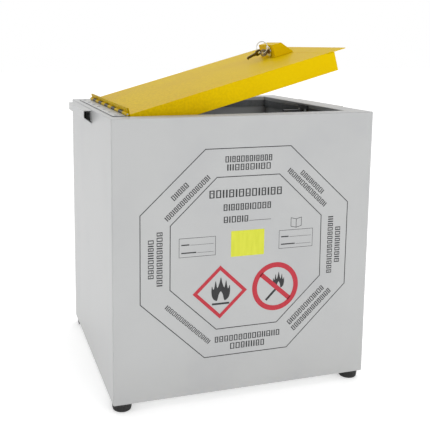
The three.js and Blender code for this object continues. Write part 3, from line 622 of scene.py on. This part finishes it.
def feet():
    for where in ("front_left", "front_right", "back_left", "back_right"):
        low, high = span("foot_" + where)
        centre = (low + high) / 2
        height, r = (high[2] - low[2]) / mm, foot["radius"]
        t = np.linspace(0, math.pi / 2, 6)
        base = r - foot["taper"]
        profile = [(foot["wellRadius"], 0.6), (foot["wellRadius"] + 0.6, 0.0)]
        profile += list(zip(base - foot["round"] * (1 - np.sin(t)), foot["round"] * (1 - np.cos(t))))
        for level in foot["grooves"]:
            out = base + foot["taper"] * level / height
            deep = out - foot["groove"]
            profile += [(out - 0.02, level - 0.7), (deep, level - 0.25)]
            profile += [(deep, level + 0.25), (out, level + 0.7)]
        profile += [(r - 0.1, height - 0.9), (r - 0.9, height), (foot["bore"], height)]
        profile += [(foot["bore"], foot["well"]), (foot["wellRadius"], foot["well"])]
        profile.append(profile[0])
        points, faces = lathe(np.array(profile) * mm, (centre[0], centre[1], 0), (0, 0, 1))
        body = putMesh("rubber_foot_" + where, points, faces, footRubber, "case")
        weightNormals(body)
        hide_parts("foot_" + where)
        node = frame["nodes"]["foot_screw_" + where]
        node.material_slots[0].material = zincPlate
        softened(node, 0.4 * mm)


feet()
print("feet")


# piano hinge: sheet curled round the pin, turn and turn about

hinge = {  # mm, but for the count and the shrink
    "knuckles": 11, "outside": 3.2, "inside": 1.75, "leaf": 1.2, "gap": 0.6, "notch": 0.3,
    "caseLeaf": 26.0, "lidLeaf": 10.5, "edge": 0.25, "edgeShrink": 0.965,
}


def knuckleSection(owner):
    # the sheet's section in (along the lid, height): a ring round the pin, a hair open at its own leaf
    start = {"lid": math.radians(8), "case": math.radians(-98)}[owner]
    sweep = np.linspace(start, start + 2 * math.pi - math.radians(14), 34)
    outside = np.stack([np.cos(sweep), np.sin(sweep)], -1) * hinge["outside"]
    inside = np.stack([np.cos(sweep[::-1]), np.sin(sweep[::-1])], -1) * hinge["inside"]
    return np.vstack([outside, inside]) * mm


def addHinge():
    low, high = span("hinge_leaf_lid")
    lidLow, lidHigh = low[1], high[1]
    pitch = (lidHigh - lidLow) / hinge["knuckles"]
    leafTop, notch = hinge["lidLeaf"] * mm, hinge["notch"] * mm
    halfGap, edge, shrunk = hinge["gap"] / 2 * mm, hinge["edge"] * mm, hinge["edgeShrink"]
    owners = (("lid", yellowCoat, "yellow_powder_coat"), ("case", greyCoat, "grey_powder_coat"))
    for owner, material, slot in owners:
        frameX = alongLid if owner == "lid" else np.array([1.0, 0, 0])
        frameZ = offLid if owner == "lid" else np.array([0, 0, 1.0])
        points, faces, count = [], [], 0
        section = knuckleSection(owner)
        for i in range(0 if owner == "lid" else 1, hinge["knuckles"], 2):
            start, end = lidLow + i * pitch + halfGap, lidLow + (i + 1) * pitch - halfGap
            stations = np.array([start, start + edge, end - edge, end])
            shrink = np.array([shrunk, 1, 1, shrunk])[:, None]
            origin = pin + (stations - pin[1])[:, None] * acrossLid
            knuckle = carried(section, (origin, shrink * frameX, shrink * frameZ))
            points.append(knuckle.reshape(-1, 3))
            faces += [[v + count for v in f] for f in capped(len(stations), len(section))]
            count += len(section) * len(stations)
        # the case's knuckles are dark bare steel, their dark also standing for the shade between the lid's
        # knuckles: painted shade
        metal = material if owner == "lid" else shadeDarkBareSteel
        knuckles = putMesh(f"knuckles_{owner}", np.vstack(points), faces, metal, owner)
        weightNormals(knuckles)
        # the leaf: a flat strip from the knuckles, notched where the other leaf's knuckles turn
        points, faces, count = [], [], 0
        o, t = hinge["outside"] * mm, hinge["leaf"] * mm
        clear, far = o + notch, -hinge["caseLeaf"] * mm
        for i in range(hinge["knuckles"]):
            mine = (i % 2 == 0) == (owner == "lid")
            y0, y1 = lidLow + i * pitch, lidLow + (i + 1) * pitch
            y0, y1 = (y0 + notch, y1 - notch) if mine else (y0 - notch, y1 + notch)
            y0, y1 = max(y0, lidLow), min(y1, lidHigh)
            near = hinge["inside"] * mm if mine else clear
            if owner == "lid":
                corners = [(o - t, near), (o, near), (o, leafTop), (o - t, leafTop)]
            else:
                corners = [(far, -o), (-near, -o), (-near, -o + t), (far, -o + t)]
            origin = pin + (np.array([y0, y1]) - pin[1])[:, None] * acrossLid
            strip = carried(np.array(corners), (origin, np.tile(frameX, (2, 1)), np.tile(frameZ, (2, 1))))
            points.append(strip.reshape(-1, 3))
            faces += [[v + count for v in f] for f in capped(2, 4)]
            count += 8
        leaf = putMesh(f"leaf_{owner}", np.vstack(points), faces, material, owner)
        weightNormals(leaf)
        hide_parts(f"hinge_leaf_{owner}")
        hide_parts(f"hinge_leaf_{owner}")


addHinge()


# rivets of the hinge leaves

rivet = {  # mm, but for the counts
    "count": 7, "radius": 3.2, "height": 1.3, "smallRadius": 2.2, "smallHeight": 0.8,
    "fromEnd": 14, "fromEdge": 9, "upTheLid": 6.2, "skirt": 0.15, "steps": 24,
}


def domes(name, places, axis, radius, height, material, body):
    # low rivet heads: radius * cos(t), height * sin(t), turned about the axis at each place
    t = np.linspace(0, math.pi / 2, 7)
    rise = rivet["skirt"] * mm + height * np.sin(t)
    profile = np.vstack([[[0, 0]], np.stack([radius * np.cos(t), rise], -1)])
    made = [lathe(profile, place, axis, rivet["steps"]) for place in places]
    size = made[0][0].reshape(-1, 3).shape[0]
    points = np.vstack([m[0].reshape(-1, 3) for m in made])
    faces = np.vstack([m[1] + i * size for i, m in enumerate(made)])
    return putMesh(name, points, faces, material, body)


leafLow, leafHigh = span("hinge_leaf_case")
rivetY = np.linspace(leafLow[1] + rivet["fromEnd"] * mm, leafHigh[1] - rivet["fromEnd"] * mm, rivet["count"])
leafTopZ = pin[2] + (-hinge["outside"] + hinge["leaf"]) * mm
onLeaf = [(leafLow[0] + rivet["fromEdge"] * mm, y, leafTopZ) for y in rivetY]
domes("leaf_rivets", onLeaf, (0, 0, 1), rivet["radius"] * mm, rivet["height"] * mm,
      greyCoat, "case")
onUpstand = [onLid([hinge["outside"] * mm - hinge["leaf"] * mm, y, rivet["upTheLid"] * mm]) for y in rivetY]
domes("upstand_rivets", onUpstand, -alongLid, rivet["smallRadius"] * mm, rivet["smallHeight"] * mm,
      yellowCoat, "lid")
print("hinge")


# printed front: outlines, greeked lines and plain signs, in films of ink standing just off the sheet

ink = {"line": 1.5, "film": 0.05, "black": 0.06, "red": 0.14, "lime": 0.06}  # mm; the last three are lifts
mark = {  # parts of a line's height
    "pitch": 0.72, "stem": 0.2, "narrow": 0.52, "wide": 0.66, "gap": 0.19, "stroke": 0.17, "barStep": 0.22,
}
outerEight = [  # (x, z) in mm, as all the printed shapes
    (-82, 470.5), (82, 470.5), (202.5, 359), (202.5, 199.5),
    (84, 85.2), (-80, 85.2), (-200.5, 198.5), (-200.5, 359),
]
innerEight = [
    (-60, 419.4), (61, 419.4), (148, 337), (149, 220),
    (62, 137.4), (-58, 137.4), (-146, 220), (-146, 337),
]


def inkPiece(name, shapes, material, lift):
    # each shape is a closed outline (x, z) in mm, or a pair of outlines joined into a band
    points, faces, count = [], [], 0
    for shape in shapes:
        band = isinstance(shape, tuple)
        flat = np.vstack(shape) if band else np.asarray(shape, float)
        n = len(flat)
        depth = np.full(n, frontFace - (lift + ink["film"]) * mm)
        front = np.column_stack([flat[:, 0] * mm, depth, flat[:, 1] * mm])
        back = front + np.array([0, ink["film"] * mm, 0])
        points += [front, back]
        if band:
            half = n // 2
            i = np.arange(half)
            j = (i + 1) % half
            loops = [np.stack([i, j, j + half, i + half], -1),
                     np.stack([i, i + half, j + half, j], -1) + n,
                     np.stack([i, i + n, j + n, j], -1),
                     np.stack([i + half, j + half, j + half + n, i + half + n], -1)]
            faces += [[v + count for v in f] for group in loops for f in group]
        else:
            i = np.arange(n)
            j = (i + 1) % n
            faces += [[v + count for v in range(n)], [v + count + n for v in range(n)][::-1]]
            faces += [[v + count for v in f] for f in np.stack([i, i + n, j + n, j], -1)]
        count += 2 * n
    return putMesh(name, np.vstack(points), faces, material, "case", smooth=False)


def outlineBand(corners, width):
    # two mitred copies of an outline, half a width inside and half a width outside
    corners = np.asarray(corners, float)
    before = corners - np.roll(corners, 1, 0)
    after = np.roll(corners, -1, 0) - corners
    before /= np.linalg.norm(before, axis=1)[:, None]
    after /= np.linalg.norm(after, axis=1)[:, None]
    normal = np.stack([before[:, 1] + after[:, 1], -before[:, 0] - after[:, 0]], -1)
    normal /= np.linalg.norm(normal, axis=1)[:, None]
    mitre = (normal * np.stack([before[:, 1], -before[:, 0]], -1)).sum(1)
    reach = width / 2 / np.clip(mitre, 0.3, 1)[:, None]
    return corners + normal * reach, corners - normal * reach


def box2(x0, z0, x1, z1):
    return np.array([(x0, z0), (x1, z0), (x1, z1), (x0, z1)], float)


def greekedLine(middle, length, height, angle):
    # a line of writing stood for by marks that are no letters: hollow boxes, some with a bar, and stems
    count = int(length / (height * mark["pitch"])) + 1
    kind = rng.integers(0, 4, count)
    widths = np.where(kind == 3, mark["stem"], rng.uniform(mark["narrow"], mark["wide"], count)) * height
    steps = widths + mark["gap"] * height
    scale = length / (steps.sum() - mark["gap"] * height)
    starts = (np.cumsum(steps) - steps) * scale - length / 2
    turn = np.array([[math.cos(angle), math.sin(angle)], [-math.sin(angle), math.cos(angle)]])
    put = lambda outline: outline @ turn + np.array(middle)
    stroke, half, marks = mark["stroke"] * height, height / 2, []
    for what, x0, x1 in zip(kind, starts, starts + widths * scale):
        if what == 3:
            marks.append(put(box2(x0, -half, x1, half)))
            continue
        inner = box2(x0 + stroke, -half + stroke * 0.7, x1 - stroke, half - stroke * 0.7)
        marks.append((put(box2(x0, -half, x1, half)), put(inner)))
        if what > 0:
            level = (what - 1.5) * mark["barStep"] * height
            inset, thin = stroke * 1.25, stroke * 0.3
            marks.append(put(box2(x0 + inset, level - thin, x1 - inset, level + thin)))
    return marks


def flame(middle, height, width):
    # a plain three-tongued flame: its corner points joined by Catmull-Rom curves, mirrored left to right
    half = np.array([
        (0.0, 0.5), (0.07, 0.26), (0.17, 0.06), (0.25, 0.36), (0.31, 0.1), (0.36, 0.0), (0.43, 0.14),
        (0.45, -0.14), (0.38, -0.38), (0.2, -0.5), (0.13, -0.36), (0.1, -0.24), (0.0, -0.1)])
    corners = np.vstack([half, half[-2:0:-1] * [-1, 1]])
    p0, p1, p2, p3 = (np.roll(corners, k, 0)[:, None] for k in (1, 0, -1, -2))
    t = np.linspace(0, 1, 6)[:-1][None, :, None]
    square, cube = 2 * p0 - 5 * p1 + 4 * p2 - p3, 3 * p1 - p0 - 3 * p2 + p3
    curve = 0.5 * (2 * p1 + (p2 - p0) * t + square * t ** 2 + cube * t ** 3)
    return curve.reshape(-1, 2) * [width, height] + np.array(middle)


def printedFront():
    black = [outlineBand(outerEight, ink["line"]), outlineBand(innerEight, ink["line"])]
    slope = math.atan2(111.5, 120.5)
    lines = [((0.3, 450.9), 90, 11.2, 0), ((0.8, 436.1), 84, 11.4, 0),
             ((127.3, 401.0), 60, 9.5, -slope), ((117.5, 391.2), 104, 9.5, -slope),
             ((184.0, 277.7), 69, 10.5, -math.pi / 2), ((168.2, 278.3), 110, 10.5, -math.pi / 2),
             ((121.5, 164.5), 95, 10, slope), ((133.4, 154.7), 103, 10, slope),
             ((4.4, 117.0), 129, 11.2, 0), ((4.1, 101.4), 68, 11.6, 0),
             ((-112.0, 152.0), 112, 8.5, -slope),
             ((-181.2, 279.3), 70, 10.2, math.pi / 2), ((-165.3, 278.4), 98, 10.6, math.pi / 2),
             ((-128.5, 397.5), 37, 10, slope), ((-114.5, 385.2), 107, 9.5, slope),
             ((-4.0, 389.0), 140, 14.2, 0), ((-0.8, 363.6), 92, 12, 0), ((-22.6, 341.2), 47, 11.6, 0)]
    for middle, length, height, angle in lines:
        black += greekedLine(middle, length, height, angle)
    black.append(box2(3, 336.6, 46, 337.3))
    for x0, x1, z0, z1 in ((-129.5, -61.3, 278.2, 312.6), (63.2, 131.2, 279.3, 313.3)):
        black.append(outlineBand(box2(x0, z0, x1, z1)[::-1], 0.7))
        for z, word in ((z1 - 12.2, 15), (z0 + 7.5, 28)):
            black.append(box2(x0 + 4, z - 0.9, x0 + 4 + word, z + 1.3))
            black.append(box2(x0 + 6 + word, z - 0.9, x1 - 3.5, z - 0.4))
    # an open book over the right plate, as two leaning pages
    for side in (-1, 1):
        page = np.array([(97, 333.2), (97 + side * 10.5, 336), (97 + side * 10.5, 320), (97, 317.4)])
        black.append(outlineBand(page[::-side], 0.9))
    # diamond: one drop flame over a bar; ring: one drop flame on a stick
    black += [flame((-49.8, 213), 44, 40), box2(-66.5, 183.6, -33, 187.2)]
    stick = np.array([(38, 184), (41, 181), (66, 206), (63, 209)], float)
    black += [flame((64.5, 219.5), 31, 25), stick]
    inkPiece("print_black", black, inkBlack, ink["black"])

    diamond = np.array([(-51.2, 252.8), (-3.2, 207.0), (-51.2, 161.5), (-99.2, 207.6)])
    around = np.linspace(0, 2 * math.pi, 73)[:-1]
    ringMiddle, lean = np.array([58.0, 207.4]), 0.72  # the bar's lean in radians
    circle = lambda r: ringMiddle + r * np.stack([np.sin(around), np.cos(around)], -1)
    turn = np.array([[math.cos(lean), -math.sin(lean)], [math.sin(lean), math.cos(lean)]])
    bar = box2(-38.5, -4.3, 38.5, 4.3) @ turn + ringMiddle
    inkPiece("print_red", [outlineBand(diamond, 6.4), (circle(46.3), circle(36.8)), bar], inkRed, ink["red"])
    inkPiece("print_lime", [rounded(box2(-31.5, 271.5, 33.5, 319.5), 1.2)], inkLime, ink["lime"])


printedFront()
print("printed front")


# split ring

ringWire = {"radius": 11.9, "wire": 0.80, "half": 0.45, "pitch": 0.9, "turns": 1.9, "steps": 220}


def splitRing():
    # a flat coil of wire, nearly two turns: centre + radius * (cos u across + sin u up) + lift * normal
    r = ringWire
    solid = frame["nodes"]["key_ring"].data
    points = np.zeros(len(solid.vertices) * 3)
    solid.vertices.foreach_get("co", points)
    points = points.reshape(-1, 3)
    centre = (points.min(0) + points.max(0)) / 2
    normal = np.linalg.svd(points - points.mean(0), full_matrices=False)[2][2]
    normal *= np.sign(normal[1])
    across = np.cross(normal, [0, 0, 1])
    across /= np.linalg.norm(across)
    up = np.cross(across, normal)
    u = np.linspace(0, 2 * math.pi * r["turns"], r["steps"])
    outward = np.cos(u)[:, None] * across + np.sin(u)[:, None] * up
    spine = centre + r["radius"] * mm * outward + ((u / u[-1] - 0.5) * r["pitch"] * mm)[:, None] * normal
    a = np.arange(12) * math.pi / 6
    section = np.stack([np.cos(a) * r["wire"] * mm, np.sin(a) * r["half"] * mm], -1)
    coil = carried(section, (spine, outward, np.tile(normal, (len(u), 1))))
    ring = putMesh("split_ring", coil, capped(len(u), 12), chromePlate, "key_ring")
    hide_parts("key_ring")


splitRing()
for n in (1, 2):
    node = frame["nodes"][f"keeper_screw_{n}"]
    node.material_slots[0].material = zincPlate
    softened(node, 0.3 * mm)
print("keys and ring")
